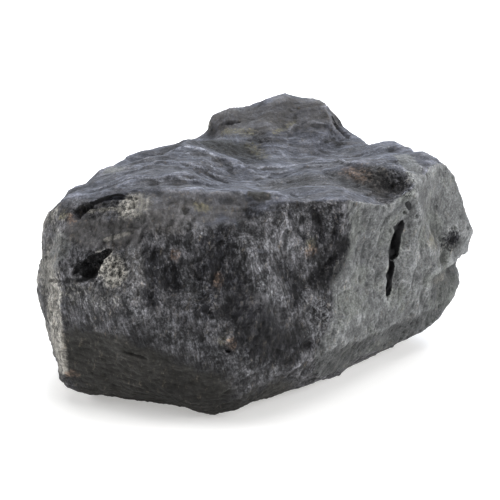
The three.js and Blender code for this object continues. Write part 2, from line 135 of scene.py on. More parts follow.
# Open cracks and creases: the line, with its half breadth at each point, and the depth.
CREASES = [
    # the gash
    ([(32.2, -12.2, 37.6), (31.7, -12.6, 35.8), (31.2, -12.8, 33.6), (30.7, -13.3, 31.4),
      (30.4, -13.6, 29.5), (30.1, -13.8, 28.3), (29.9, -13.8, 26.5), (29.6, -14, 24.2),
      (29.3, -14.4, 21.9), (29, -15.2, 18.9)],
     (0.3, 0.8, 1.1, 1.2, 1, 0.4, 0.6, 0.75, 0.6, 0.2), 3.2),
    # the slit under the upper ledge and the hollow under the lower one
    ([(-40.8, -26.8, 43.6), (-39.5, -26, 44.8), (-37.2, -25.9, 46.2), (-34.6, -25.8, 47.4),
      (-32.5, -26.4, 47.8), (-30, -27.8, 48)],
     (0.8, 1.1, 0.7, 0.5, 0.4, 0.2), 1.5),
    ([(-38.6, -34, 31.6), (-37.2, -33, 33.2), (-35.7, -31.8, 34.7), (-34, -32.1, 36.6),
      (-32.5, -33.2, 38.2)], (2.2, 2, 1.5, 0.9, 0.2), 2.2),
    # the crack in the belly, the ledge line at the left, the groove beside the front hollow
    ([(-30.9, -39.1, 16.7), (-28.7, -39.7, 16.2), (-26.5, -40.2, 15.7), (-24.8, -40.7, 15.2)],
     (0.1, 0.3, 0.3, 0.1), 0.7),
    ([(-49.5, -21.2, 26.3), (-45.6, -29.1, 29.2), (-42, -32.5, 30.5), (-38.5, -34.4, 31.2),
      (-35.1, -35.6, 31.7)], (0.3, 0.5, 0.6, 0.5, 0.1), 0.7),
    ([(-22.9, -33.6, 39.2), (-23.6, -35.3, 36), (-23.9, -38, 32.8), (-24.1, -40.3, 30.2),
      (-23.5, -40.6, 27.3)], (0.3, 1.1, 1.3, 1, 0.2), 0.7),
    # flutes in the front bowl
    ([(5.8, -30.4, 46.4), (6.4, -30.6, 43.5), (8.2, -29.4, 41), (9.8, -28.6, 38.6)],
     (0.3, 0.6, 0.7, 0.3), 0.45),
    ([(10.6, -29, 46.4), (11.6, -28, 43.4), (12.4, -27.8, 41), (13.4, -27.8, 38)],
     (0.3, 0.7, 0.8, 0.3), 0.5),
    ([(15.4, -28.6, 44.8), (15.9, -27.9, 41.5), (15.4, -27.7, 38.4)], (0.3, 0.7, 0.3), 0.45),
    # the back lump's groove and crack
    ([(-11.9, 21.8, 49), (-9.5, 21.6, 49.8), (-7, 21.4, 51), (-4.8, 20.6, 51.5)],
     (0.2, 0.3, 0.7, 0.1), 0.6),
    ([(17.3, 23.1, 51.4), (18.8, 23.7, 49.2), (20.6, 24.6, 47.4), (22.2, 23.4, 46.8)],
     (0.2, 0.7, 0.7, 0.1), 1),
]

# Broad soft rises and dips: the line, its half breadth and its height.
SWELLS = [
    # on the right face: the dip behind the bowl's rim, the rise beside the gash, the dips by the end
    ([(22, -22.8, 41), (22.8, -21.5, 34), (24.5, -20, 25)], 4.5, -0.8),
    ([(36, -9.5, 39), (35, -10, 31), (33.5, -11.5, 22)], 3.8, 0.8),
    ([(41, -1.5, 32), (43.2, 1.5, 27), (42.5, 1, 22.8)], 3.2, -1),
    ([(38.4, -5.4, 21), (38.6, -5, 16.5), (39.8, -3.5, 12.5)], 2.6, -0.7),
    ([(28, -15.8, 39), (27.5, -16.6, 31), (26.5, -17.6, 22)], 2.6, -0.5),
    ([(18, -27, 27), (22, -23.5, 19)], 4, 0.6),
    # on the front: the wall beside the lower ledge, the scar, the flutes in the bowl, the dark dips
    ([(-27.5, -33.5, 38.5), (-27.2, -37.5, 33), (-26.8, -41, 27)], 2.6, 0.8),
    ([(-3.7, -34.5, 40.7), (-2.1, -36.8, 36.5), (0.2, -38, 31), (3, -37.2, 25.5)], 2, 0.8),
    ([(6, -30.8, 44), (7.5, -30.4, 38), (7.8, -30.8, 33)], 1.6, 0.5),
    ([(11, -28.4, 44), (11.5, -28.4, 39), (10.5, -29.6, 34)], 1.3, -0.6),
    ([(-16, -34.5, 37.5), (-13.5, -37.8, 29)], 3, -0.8),
    ([(-8.5, -36, 34), (-7.5, -40, 26)], 2.6, -0.6),
    ([(-12.5, -36.5, 33), (-10.5, -40, 26)], 1.5, 0.5),
    ([(-5, -32, 43), (3, -32.2, 42)], 1.8, 0.5),
]

# Small holes: centre, radius and depth. A mound is a hole of negative depth.
HOLES = [
    ((32.8, -12.5, 39.2), 0.8, 1.2),
    ((35.3, -10.1, 38), 0.7, 1),
    ((17.4, -30, 44.4), 1, 0.7),
    ((-7.1, -43.3, 18.4), 0.8, 1.2),
    ((-3.7, -30.8, 46.1), 1.4, 0.4),
    ((45.8, 3.2, 27.6), 1.7, 1.4),
    ((9.8, -34.2, 15.6), 1.5, 0.7),
    ((-40.3, -27, 43.9), 1.3, 0.9),
    ((-10.8, -33.4, 42), 1.6, 0.5),
    ((-6.5, 25, 52.5), 6, -0.9),
    ((-1, -40, 25), 6, -0.8),
    ((-11.4, 24.6, 51.6), 2.6, -0.5),
    ((-12.6, 20.6, 48.8), 3.4, 1.2),
    ((34, 12, 47.2), 4, -1),
]

# Stains and painted sheen and shade by name: marks, each a line, or a single point, and a breadth on either
# side.
LEDGE_WALL = [(-40, -29.6, 41.4), (-34, -31.6, 41.4), (-29, -32.4, 41.6)]
LUMP_TOP = [(-9, 23, 52), (0, 19, 52.5), (10, 24, 54.5), (17, 26, 54)]
STAINS_AND_PAINTED_LIGHT = {
    "dark": [
        # from the left wall of the front down to its foot
        ([(-24.2, -35.2, 37), (-23.6, -37.5, 33), (-23.8, -40.4, 29.6)], 2.4),
        ([(-20.6, -34.4, 34), (-19.4, -36, 30.8)], 2.6),
        ([(-11, -34.2, 39.4), (-8.2, -34.3, 39.4), (-9.6, -36, 34.4), (-5, -37, 32)], 3.2),
        ([(-12.3, -35.5, 34.2), (-10.6, -37.6, 30.6), (-12.4, -39.6, 26.6)], 3),
        ([(-11.4, -33.8, 40.9), (-8.2, -32.9, 42.6)], 1.2),
        ([(-4.1, -30.8, 45.9), (-2.6, -31.2, 45.6)], 1.3),
        ([(-4.5, -39.5, 26.5), (-1, -40.3, 24), (1.5, -39.6, 19.9)], 4.2),
        ([(-3.5, -41.5, 19), (2, -39.8, 16.5), (6.5, -37.5, 16)], 3.4),
        ([(8.2, -36, 17.2), (10.4, -34, 15.9)], 1.7),
        # the bowl and the foot of its rim
        ([(6.2, -30.6, 45.6), (7.4, -30, 42.4), (9.6, -28.6, 38.8)], 0.8),
        ([(11.4, -28.6, 45.6), (12.2, -27.8, 42), (13.2, -27.8, 38.4)], 1.3),
        ([(16.4, -28.6, 44.2), (16.2, -27.8, 40.4), (16.6, -27.2, 37.4)], 1.3),
        ([(17, -27, 35.6), (15.6, -28.2, 32.4), (13.2, -29.6, 30.4)], 2.7),
        ([(5, -32.8, 33.4), (7.4, -32.4, 29.4), (7.2, -34, 26.8)], 2.3),
        # the top: the right lobe, the neck behind the left lobe, the lump
        ([(16.5, -8.4, 47), (21.4, -9.2, 47.2), (25.6, -9.4, 46.8), (25.4, -12.6, 45.2)], 3.5),
        ([(19.6, -14, 46.4), (27, -14.8, 44.4)], 2.4),
        ([(-12.6, 7.6, 50.6), (-8.6, 6.4, 49.4), (-5, 7.6, 48.4), (-2.6, 3, 47.4)], 3.4),
        ([(-1.5, 15.3, 50.6), (1, 11.6, 49.4)], 1.8),
        # by the right end
        ([(45.6, 3.2, 27.4)], 3),
        ([(43, 0.4, 26.6)], 1.3),
    ],
    "pale": [
        ([(33, 1.4, 49.2), (34.4, -3, 48.6), (35.4, -7, 47), (36, -10, 44.6)], 2.6),
        ([(-35, -4.2, 46.9), (-33, -5, 47.3)], 1.6),
        ([(-44.6, -28.6, 37.2), (-45.8, -27.6, 34), (-48, -23, 29)], 3),
        ([(-0.6, -28, 49), (3, -28.4, 48.6)], 0.8),
    ],
    "flecked": [
        ([(-27, -41.6, 25.4), (-20, -41.8, 22.6), (-15, -42.6, 20)], 1.6),
        ([(-28, -34, 38), (-27.4, -39, 31), (-27, -41, 27)], 2),
        ([(-8, -43.6, 17), (-3, -42.6, 14), (1.6, -39.4, 11.4)], 2.6),
        ([(-3.4, -35.4, 39.4), (-2.4, -36.7, 36), (-0.6, -37.6, 32.6), (3, -37.2, 28.6)], 2.5),
        ([(-4.7, -34.5, 40.2), (0.6, -34.9, 39.9), (5.1, -31.4, 37.9), (9, -28.9, 37.1)], 1.4),
        ([(4.2, -30.6, 45), (5.2, -31, 41), (6.6, -30, 38.6)], 1),
        ([(9.4, -29.2, 45.4), (10.6, -28.4, 41.4), (11.2, -28.2, 38.6)], 0.9),
        ([(14.2, -28.4, 44.8), (14.6, -27.8, 41)], 1),
        ([(8.6, -29, 41), (9.2, -28.8, 37.6), (10.4, -29.4, 33.4)], 1.1),
        ([(13, -28.2, 37), (12.6, -29.2, 33.6)], 1),
        ([(10.6, -32.9, 25), (13.4, -31.4, 24.4), (14, -32, 20.6), (11.6, -33.4, 19)], 2.6),
        ([(-16.9, -35.4, 32.7), (-14.3, -37.6, 29.9)], 1.5),
        ([(-16, -32.4, 43), (-13, -32.6, 42.6)], 1.2),
        ([(-43.6, -32, 26.5), (-38, -36, 27.5), (-32, -39.6, 28)], 1.7),
        ([(-33.4, -35.2, 32.6), (-31.4, -35, 35.2)], 2.4),
    ],
    "olive": [
        ([(-40.3, -32.2, 12), (-31.2, -36.8, 11), (-22.3, -40.2, 9), (-13.5, -42.2, 7)], 7.4),
        ([(-40, -33, 15.6), (-30, -38, 16.6), (-22, -41.2, 14)], 3.8),
        ([(-34, -30, 2), (-16, -35, 2), (0, -33, 2)], 8),
        ([(-2.4, -28.2, 49.3), (0.7, -29.6, 48.9)], 1.3),
        ([(-12.6, 7.6, 50.6), (-5, 7.6, 48.4)], 3.6),
    ],
    "brown": [
        (LEDGE_WALL, 3.2),
        (LUMP_TOP, 5.4),
        ([(-23, -29.8, 47), (-6, -29.4, 47.6)], 3),
        ([(-24, -31, 44), (-18, -31.6, 44)], 3),
        ([(6, -14, 46.5), (14, -14, 46.8), (24, -11, 46.8)], 6),
        ([(-28, -33.4, 38.6), (-27, -37, 34), (-27, -40, 29)], 1.8),
    ],
    # darker: painted shade low on the stone, at the foot of the bowl's rim, under the ledge's roof and
    # under the right end's step; a darker tone on the top
    "dark_tone_and_shade": [
        ([(17.6, -26.6, 36.4), (16.4, -27.8, 32.4), (13.4, -29.5, 30)], 3.4),
        ([(-37.4, -27.2, 44.7), (-32.5, -28, 45.6)], 1.9),
        ([(8, -13.6, 46.5), (15, -12.6, 46.8), (25, -10, 46.8)], 5.4),
        ([(-15.4, 5.4, 51.6), (-12.6, 8.4, 50.6), (-8.6, 7, 49.4), (-5, 7, 48.4),
          (-2.6, 3, 47.4)], 5.4),
        ([(1, -41, 18.5), (6, -38, 17.5)], 6),
        ([(-8, -43, 15), (-1, -41, 13)], 4),
        ([(-20, -39, 5), (-12, -40, 4.5), (-4, -39, 3)], 6.6),
        ([(42, 2, 16), (46, 10, 15)], 4.4),
        ([(-26, -41, 21), (-18, -42.6, 18)], 3.4),
    ],
    # made lighter at these marks
    "lightened": [
        ([(-20, -31, 45), (-10, -31, 45.5)], 5),
        ([(-28.4, -29.5, 46.5), (-27.4, -29.6, 47)], 2.6),
        ([(-34, -34.2, 34.6), (-31.4, -35.4, 32.8)], 3.4),
        ([(-46, -28.4, 27), (-45.4, -29.4, 20), (-44.8, -29.6, 10)], 3),
        ([(-36.5, -3.3, 46.9), (-32.2, -5.4, 47.5)], 4.2),
        ([(6, -30, 43), (10, -29, 40)], 5),
        ([(20.6, -6.8, 47.8), (22, -7.8, 47.4)], 2.2),
    ],
    "calm": [
        (LEDGE_WALL, 3.2),
        (LUMP_TOP, 7),
        ([(-4, -38.8, 27.5), (0, -40, 25), (1.6, -39.4, 21)], 4.4),
        ([(-24, -30, 46), (-6, -30, 46.6)], 4),
    ],
    "grain": [
        ([(-38, -27.2, 44.4), (-34, -27.8, 45.8), (-29, -29, 46.8)], 2.3),
        ([(-34, -34, 33.4), (-31.5, -35.5, 33.6)], 3.6),
        ([(27.5, -9.5, 47), (31.5, -10.5, 45.7)], 4),
        ([(45, 3, 27.6)], 3.4),
        ([(13, -31.8, 23)], 3.4),
    ],
    # painted sheen on the lump's panel
    "blue": [([(5.4, 13.4, 49.6), (10.6, 16.4, 48.8), (15, 19, 48.6)], 4)],
    "dust": [
        ([(-28.6, -29.2, 46.4), (-27, -29.4, 47.2)], 2.7),
        ([(-38, -26.8, 44.6), (-33, -28.4, 45.6), (-28, -30, 45.9)], 0.5),
        ([(-34.2, -33.8, 35), (-32.6, -34.6, 34.4), (-31.4, -35.4, 32.4)], 2.8),
        ([(-45.2, -29.7, 26.8), (-45.1, -30.4, 22.8), (-44.8, -30.5, 18.1), (-44.5, -30.7, 13.4),
          (-44.3, -30.1, 7.8)], 1),
        ([(-47, -26.6, 30), (-46.8, -27.4, 24.1), (-46.3, -28.4, 17.5), (-45.6, -27, 8.5)], 2.4),
        ([(43.9, 3.6, 18.2), (41.6, -0.2, 18.2)], 0.9),
        ([(-34.1, -32.3, 39.9), (-31.2, -32.4, 40.9), (-28.2, -32.5, 41.9)], 0.5),
        ([(-43.5, -31.8, 27.2), (-40.6, -33.7, 28.1), (-37.8, -35.4, 28.8)], 0.35),
    ],
    "ochre": [
        ([(-8.4, 18.2, 50), (-5.5, 16.3, 50.6), (-2.9, 15.1, 50.4)], 1.5),
        ([(-2.4, 10.2, 48.6), (-1, 8.7, 48.1), (0.4, 5.6, 47.6)], 1.5),
        ([(3.4, 15, 50.6), (8, 20.4, 51.8)], 0.7),
        ([(-14, -29.8, 46.8), (-12, -29.9, 46.4)], 1),
        ([(40.6, -3, 29.8)], 2.2),
        ([(11, -28.3, 37.4)], 1.4),
        ([(-8.3, -41.6, 20.3)], 1.3),
        ([(-44, -26, 43.4)], 1.2),
    ],
    "rust": [
        ([(-18.8, -34.1, 37.1)], 1.3),
        ([(-9.7, -36.3, 33), (-9.6, -36.8, 31.6)], 1.1),
        ([(-6.5, -42.6, 19.8)], 1.3),
        ([(11, -28.4, 36)], 1.5),
        ([(20.6, -6.8, 47.8), (22.6, -8.2, 47.2)], 2.4),
        ([(-41.8, -27.2, 43.2)], 1.2),
        ([(-43.6, -30.4, 7), (-42, -31, 7.6)], 1),
    ],
    # painted shade: black, broken by grain, in the pits and hollows
    "pit": [
        # the round pit at the corner, the hole at the right end, the hollow at the left, the bowl
        ([(27.8, -10, 46.4), (30.2, -8.6, 47.4), (31.8, -10.6, 46.2), (32, -13.4, 44.8),
          (29.6, -13.8, 44.6)], 2),
        ([(46, 4.2, 26.9), (45.4, 2.6, 27.8)], 2.1),
        ([(-39, -32.4, 32.6), (-37.8, -30.6, 34), (-35.8, -30.8, 35.6)], 2.4),
        ([(18.2, -26.2, 36.4), (17, -27.2, 32.8), (14, -29.2, 30.6)], 2),
        ([(18.6, -5.6, 48), (25.6, -7.6, 47.6)], 0.5),
        ([(21, -13, 46.2), (26, -13.4, 45)], 0.7),
    ],
    # painted shade: black in the cracks, slits and holes
    "black": [
        ([(32.9, -13.8, 42.3), (34, -12, 40.3)], 0.7),
        ([(17.6, 24.5, 51.8), (19, 24, 49.1), (21.2, 23.2, 46.8)], 0.5),
        # by the foot of the bowl, at the foot of the front, by the groove at the left
        ([(7.2, -32.6, 29.2), (7.6, -33.6, 27.2)], 0.8),
        ([(9, -35.4, 16.4), (10.2, -34, 16)], 0.9),
        ([(-23.4, -38.8, 31.4), (-23.8, -40.4, 29.6)], 0.9),
        # the slit and the hollow at the left, the gash
        ([(-40.3, -26.9, 43.9), (-39.5, -26.2, 44.6)], 1),
        ([(-37.2, -25.9, 46.2), (-34.6, -25.8, 47.3), (-31.5, -26.6, 48.2), (-28.2, -28.4, 49.1)], 0.6),
        ([(-38.4, -33.2, 31.8), (-37.2, -32.6, 33)], 1),
        ([(30.7, -11.4, 36.4), (30.4, -11.6, 35), (29.9, -12.1, 32), (29.5, -12.5, 30)], 1.95),
        ([(28.9, -12.9, 26.8), (28.6, -13.1, 24.6), (28.2, -13.6, 21.2)], 1.72),
    ],
}

# The bowl's rim, which the pale face starts at, and the line between that face and the bevel.
RIM_HEIGHTS = (12, 17, 21, 26, 29, 31, 33.2, 34.8, 36.9, 40, 45)
RIM_PLACES = (11.5, 13.6, 15.6, 16, 15, 15.5, 16.8, 18.2, 19.1, 19.4, 18.8)
BEVEL_PLACES = (-1.5, 6.2, 15.2, 23.5, 32.4, 42.1)
BEVEL_HEIGHTS = (8.4, 11.3, 13.3, 13.1, 11.8, 11.6)

# Ways that parts of the surface look.
RIGHT_FACE = (0.72, -0.69, 0.05)
LEFT_STRIP = (-0.95, -0.3, 0)
AWAY = (0, 0.94, -0.34)  # towards the sides that carry no marks of their own

# The ways that beds, fibres and wrinkles run. The beds fan out to the left.
FAN_CENTRE = (0, -17)
FAN_REACH = 18  # from its centre, where places on the fan are as far apart as on the stone
BED_TURN = radians(18)  # of the straight beds on the right
FAN_TO_STRAIGHT = (-11, -1)  # where along X the fan turns into them
FIBRE_RUN = (0.15, 0.1, 1)
WRINKLE_RUN = (1, -0.45, -0.1)

# Pigments, as linear colours.
DARK_GREY = (0.036, 0.036, 0.039)
MID_GREY = (0.086, 0.085, 0.091)
PALE_SKIN = (0.138, 0.142, 0.143)
PALE_GREEN = (0.110, 0.116, 0.106)
OLIVE = (0.0225, 0.0215, 0.018)
BROWN = (0.072, 0.069, 0.068)
# painted sheen: the bluish light on the faces that look up
PAINTED_BLUE_SHEEN = (0.088, 0.093, 0.114)
# painted highlight along the crests and lines of the beds
PAINTED_CREST_HIGHLIGHT = (0.205, 0.214, 0.245)
MAGNETITE = (0.012, 0.012, 0.015)
# painted glints on the hackly faces
PAINTED_GLINT = (0.112, 0.116, 0.130)
FLECK = (0.136, 0.139, 0.148)
DUST = (0.205, 0.197, 0.178)
OCHRE = (0.150, 0.138, 0.090)
RUST = (0.150, 0.104, 0.078)
# painted shade: black in pits, cracks and slits
PAINTED_SHADE_BLACK = (0.003, 0.003, 0.004)


# --- repeatable noise on points ---

HASH_FACTORS = np.array([73856093, 19349663, 83492791], dtype=np.int64)
HASH_SALT = 1274126177
HASH_ROUNDS = ((15, 0x2C1B3C6D), (12, 0x297A2D39), (15, 0x85EBCA6B))


def mixed_bits(cells, salt):
    """Thirty-two repeatable random bits for each whole-number cell."""
    bits = (cells @ HASH_FACTORS + salt * HASH_SALT).astype(np.uint32)
    for shift, factor in HASH_ROUNDS:
        bits = (bits ^ (bits >> np.uint32(shift))) * np.uint32(factor)
    return bits ^ (bits >> np.uint32(16))


def dice(cells, salt):
    """A repeatable random number from 0 to 1 for each cell."""
    return mixed_bits(cells, salt) / 2.0**32


def dice3(cells, salt):
    """Three repeatable random numbers from 0 to 1 for each cell."""
    bits = mixed_bits(cells, salt)
    return np.stack([(bits >> np.uint32(shift)) & np.uint32(1023) for shift in (0, 10, 20)], -1) / 1023


def noise(points, size, salt):
    """Smooth noise, mostly from -1 to 1, with features about `size` across."""
    scaled = points / size
    base = np.floor(scaled).astype(np.int64)
    part = scaled - base
    fade = part**3 * (part * (part * 6 - 15) + 10)
    total = np.zeros(len(points))
    for corner in product((0, 1), repeat=3):
        slope = dice3(base + corner, salt) * 2 - 1
        weight = np.where(np.array(corner) == 1, fade, 1 - fade).prod(axis=-1)
        total += weight * (slope * (part - corner)).sum(axis=-1)
    return total * 2


def layered(points, size, salt, layers=3, keep=0.55):
    """Noise at several sizes, each half as big as the last and `keep` as strong."""
    total = np.zeros(len(points))
    for layer in range(layers):
        total += keep**layer * noise(points, size / 2**layer, salt + 31 * layer)
    return total


def shards(points, size, salt):
    """Chipped faces: every cell is a plane with its own height and tilt, from about -1 to 1."""
    scaled = points / size
    base = np.floor(scaled).astype(np.int64)
    nearest = np.full(len(points), np.inf)
    height = np.zeros(len(points))
    for step in product((-1, 0, 1), repeat=3):
        cell = base + step
        away = scaled - cell - dice3(cell, salt)
        distance = (away**2).sum(axis=-1)
        closer = distance < nearest
        nearest = np.where(closer, distance, nearest)
        slope = dice3(cell, salt + 5) * 2 - 1
        plane = dice(cell, salt + 9) - 0.5 + (away * slope).sum(axis=-1)
        height = np.where(closer, plane, height)
    return height


def pits(points, size, salt, share):
    """Round pits, 0 outside and 1 at their bottoms, in a share of the cells."""
    scaled = points / size
    base = np.floor(scaled).astype(np.int64)
    depth = np.zeros(len(points))
    for step in product((-1, 0, 1), repeat=3):
        cell = base + step
        away = scaled - cell - dice3(cell, salt)
        radius = 0.25 + 0.35 * dice(cell, salt + 3)
        bowl = 1 - (away**2).sum(axis=-1) / radius**2
        present = dice(cell, salt + 4) < share
        depth = np.maximum(depth, np.where(present, bowl, 0))
    return depth


def warped(points, size, amount, salt):
    """The points pushed about by noise, so that patterns on them don't run straight."""
    push = [noise(points, size, salt + axis) for axis in range(3)]
    return points + amount * np.stack(push, axis=-1)


def along(points, direction, squeeze):
    """The points squeezed along a direction, so that noise on them runs out in streaks."""
    axis = np.array(direction, float)
    axis /= np.linalg.norm(axis)
    return points + np.outer(points @ axis, axis) * (squeeze - 1)


def ease(low, high, values):
    """0 below low, 1 above high, and smooth between them."""
    share = np.clip((values - low) / (high - low), 0, 1)
    return share * share * (3 - 2 * share)


# --- mesh arrays ---


class Skin:
    """A triangle mesh as arrays, in millimetres."""

    def __init__(self, points, triangles):
        self.points = points
        self.triangles = triangles
        pairs = np.concatenate([triangles[:, [0, 1]], triangles[:, [1, 2]], triangles[:, [2, 0]]])
        pairs = np.unique(np.sort(pairs, axis=1), axis=0)
        self.ends = np.concatenate([pairs[:, 0], pairs[:, 1]])
        self.others = np.concatenate([pairs[:, 1], pairs[:, 0]])
        self.counts = np.bincount(self.ends, minlength=len(points))

    def averaged(self, values, rounds, share=0.6):
        """Values moved towards their neighbours' average, so many times over."""
        for _ in range(rounds):
            columns = values.reshape(len(values), -1).T
            sums = [np.bincount(self.ends, column[self.others], len(values)) for column in columns]
            mean = np.stack(sums, axis=-1) / self.counts[:, None]
            values = values + share * (mean.reshape(values.shape) - values)
        return values

    def normals(self, points=None):
        """Unit normals at the vertices."""
        points = self.points if points is None else points
        a, b, c = (points[self.triangles[:, i]] for i in range(3))
        faces = np.cross(b - a, c - a)
        total = np.zeros((len(points), 3))
        for corner, axis in product(range(3), repeat=2):
            total[:, axis] += np.bincount(self.triangles[:, corner], faces[:, axis], minlength=len(points))
        return total / np.maximum(np.linalg.norm(total, axis=-1, keepdims=True), 1e-12)


def arrays_of(mesh):
    """A mesh's points and triangles."""
    mesh.calc_loop_triangles()
    points = np.empty(len(mesh.vertices) * 3, np.float32)
    mesh.vertices.foreach_get("co", points)
    triangles = np.empty(len(mesh.loop_triangles) * 3, np.int32)
    mesh.loop_triangles.foreach_get("vertices", triangles)
    return points.reshape(-1, 3).astype(float), triangles.reshape(-1, 3).astype(np.int64)


def mesh_of(name, points, triangles):
    """A Blender mesh from points and triangles."""
    mesh = bpy.data.meshes.new(name)
    mesh.vertices.add(len(points))
    mesh.vertices.foreach_set("co", points.astype(np.float32).ravel())
    mesh.loops.add(len(triangles) * 3)
    mesh.loops.foreach_set("vertex_index", triangles.astype(np.int32).ravel())
    mesh.polygons.add(len(triangles))
    mesh.polygons.foreach_set("loop_start", np.arange(0, len(triangles) * 3, 3, dtype=np.int32))
    mesh.update(calc_edges=True)
    mesh.validate()
    return mesh


def largest_piece(points, triangles):
    """The largest connected piece, without the crumbs that remeshing leaves."""
    skin = Skin(points, triangles)
    label = np.arange(len(points))
    before = None
    while before is None or (label != before).any():
        before = label
        label = before.copy()
        np.minimum.at(label, skin.ends, before[skin.others])
        label = label[label]
    kept = label == np.bincount(label).argmax()
    return points[kept], (np.cumsum(kept) - 1)[triangles[kept[triangles[:, 0]]]]


def modified(points, triangles, kind, **settings):
    """Points and triangles after one Blender modifier."""
    carrier = bpy.data.objects.new("carrier", mesh_of("carrier", points, triangles))
    bpy.context.scene.collection.objects.link(carrier)
    modifier = carrier.modifiers.new(kind, kind)
    for name, value in settings.items():
        setattr(modifier, name, value)
    evaluated = carrier.evaluated_get(bpy.context.evaluated_depsgraph_get())
    result = arrays_of(evaluated.to_mesh())
    evaluated.to_mesh_clear()
    mesh = carrier.data
    bpy.data.objects.remove(carrier)
    bpy.data.meshes.remove(mesh)
    return result


# --- places along lines ---


def stations_of(line):
    """How far along a line each of its points is, 0 to 1."""
    if len(line) == 1:
        return np.zeros(1)
    lengths = np.linalg.norm(np.diff(np.array(line, float), axis=0), axis=1)
    return np.concatenate([[0], np.cumsum(lengths)]) / lengths.sum()


def nearest_on(line, points):
    """Each point's offset from the nearest place on a line, and how far along that is, 0 to 1."""
    stations = np.array(line, float)
    places = stations_of(line)
    offset = points - stations[0]
    best = (offset**2).sum(axis=-1)
    place = np.zeros(len(points))
    for i, (start, end) in enumerate(zip(stations, stations[1:])):
        step = end - start
        share = np.clip(((points - start) @ step) / (step @ step), 0, 1)
        away = points - start - share[:, None] * step
        distance = (away**2).sum(axis=-1)
        closer = distance < best
        best = np.where(closer, distance, best)
        offset = np.where(closer[:, None], away, offset)
        place = np.where(closer, places[i] + share * (places[i + 1] - places[i]), place)
    return offset, place


def near(line, points, margin):
    """Which points lie inside a line's box, widened by a margin."""
    stations = np.array(line, float)
    low, high = stations.min(axis=0) - margin, stations.max(axis=0) + margin
    return np.nonzero(((points > low) & (points < high)).all(axis=-1))[0]


def around(line, points, margin, bend, salt):
    """The points near a line: which they are, where noise pushes them, and their places by the line."""
    chosen = near(line, points, margin)
    pushed = warped(points[chosen], *bend, salt)
    offset, place = nearest_on(line, pushed)
    return chosen, pushed, offset, place


def tapered(place, share):
    """0 at both ends of a line, and 1 from a share of its length inwards."""
    return ease(0, share, np.minimum(place, 1 - place))


def length_of(offsets):
    """How long each offset is."""
    return np.linalg.norm(offsets, axis=-1)


# --- regions: where the carving, the stains and the painted light change ---


def reach(points, marks):
    """How far points lie inside marks: 0 well outside, 0.5 at the edge and 1.5 in the middle."""
    total = np.zeros(len(points))
    for line, breadth in marks:
        chosen = near(line, points, 2 * breadth)
        distance = length_of(nearest_on(line, points[chosen])[0])
        total[chosen] = np.maximum(total[chosen], 1.5 - distance / breadth)
    return total


def facing(normals, direction, low, high):
    """A mask of the surface that faces a direction."""
    axis = np.array(direction, float)
    return ease(low, high, normals @ (axis / np.linalg.norm(axis)))


def right_face(points, calm_normals):
    """The pale face at the right of the bowl's rim."""
    beside = ease(-1.5, 1.5, points[:, 0] - np.interp(points[:, 2], RIM_HEIGHTS, RIM_PLACES))
    return facing(calm_normals, RIGHT_FACE, 0.6, 0.84) * beside


def bevel(points):
    """The low slope under the pale face."""
    return ease(1.5, -1.5, points[:, 2] - np.interp(points[:, 0], BEVEL_PLACES, BEVEL_HEIGHTS))


def regions(points, calm_normals):
    """Fields of the listed marks and of the ways the surface faces, each 0.5 at its edge."""
    here = {name: reach(points, marks) for name, marks in STAINS_AND_PAINTED_LIGHT.items()}
    here["hidden"] = facing(calm_normals, AWAY, -0.1, 0.3)
    here["top"] = facing(calm_normals, (0.05, -0.1, 1), 0.45, 0.8)
    here["right"] = right_face(points, calm_normals) * (1 - here["top"])
    here["bevel"] = here["right"] * bevel(points)
    here["left"] = facing(calm_normals, LEFT_STRIP, 0.5, 0.95) * (1 - here["top"])
    here["front"] = facing(calm_normals, FRONT, 0.3, 0.7) * (1 - here["top"])
    return here


def bed_places(points):
    """Places measured along, across and up through the beds."""
    x, y = (points[:, :2] - FAN_CENTRE).T
    fan = np.stack([-np.hypot(x, y), FAN_REACH * np.arctan2(y, -x)], axis=-1)
    cosine, sine = cos(BED_TURN), sin(BED_TURN)
    straight = np.stack([x * cosine + y * sine, y * cosine - x * sine], axis=-1)
    plan = fan + ease(*FAN_TO_STRAIGHT, x)[:, None] * (straight - fan)
    return np.column_stack([plan, points[:, 2]])


# --- carving ---


def edges(points):
    """Crests that rise softly and drop sharply, such as the edges of beds."""
    total = np.zeros(len(points))
    for number, (line, towards, height, behind, front) in enumerate(EDGES):
        chosen, pushed, offset, place = around(line, points, 6, EDGE_BEND, 400 + 10 * number)
        distance = length_of(offset)
        ahead = offset @ np.array(towards, float) > 0
        crest = np.exp(-distance / np.where(ahead, front, behind))
        trough = np.where(ahead, np.exp(-(((distance - 3 * front) / (2 * front)) ** 2)), 0)
        strength = 0.75 + 0.5 * noise(pushed, 3, 450 + number)
        total[chosen] += height * tapered(place, 0.1) * strength * (crest - 0.6 * trough)
    return total


def creases(points):
    """Open cracks and creases, round-bottomed, that narrow to nothing at their ends."""
    total = np.zeros(len(points))
    for number, (line, halves, depth) in enumerate(CREASES):
        chosen, _, offset, place = around(line, points, 5, (2.2, 0.3), 500 + 10 * number)
        across = length_of(offset) / np.interp(place, stations_of(line), halves)
        total[chosen] -= depth * np.sqrt(np.clip(1 - across**2, 0, 1)) * tapered(place, 0.06)
    return total


def swells(points):
    """Broad soft rises and dips along lines."""
    total = np.zeros(len(points))
    for number, (line, half, height) in enumerate(SWELLS):
        chosen, _, offset, _ = around(line, points, half + 2, (5, 1), 800 + 10 * number)
        total[chosen] += height * ease(0, 1, 1 - length_of(offset) / half)
    return total


def holes(points):
    """Small round holes and mounds."""
    total = np.zeros(len(points))
    for number, (centre, radius, depth) in enumerate(HOLES):
        bend = (radius * 1.5, radius * 0.35)
        chosen, _, offset, _ = around([centre], points, 2 * radius + 1, bend, 600 + 10 * number)
        total[chosen] -= depth * ease(0, 1, 1.2 * (1 - length_of(offset) / radius))
    return total


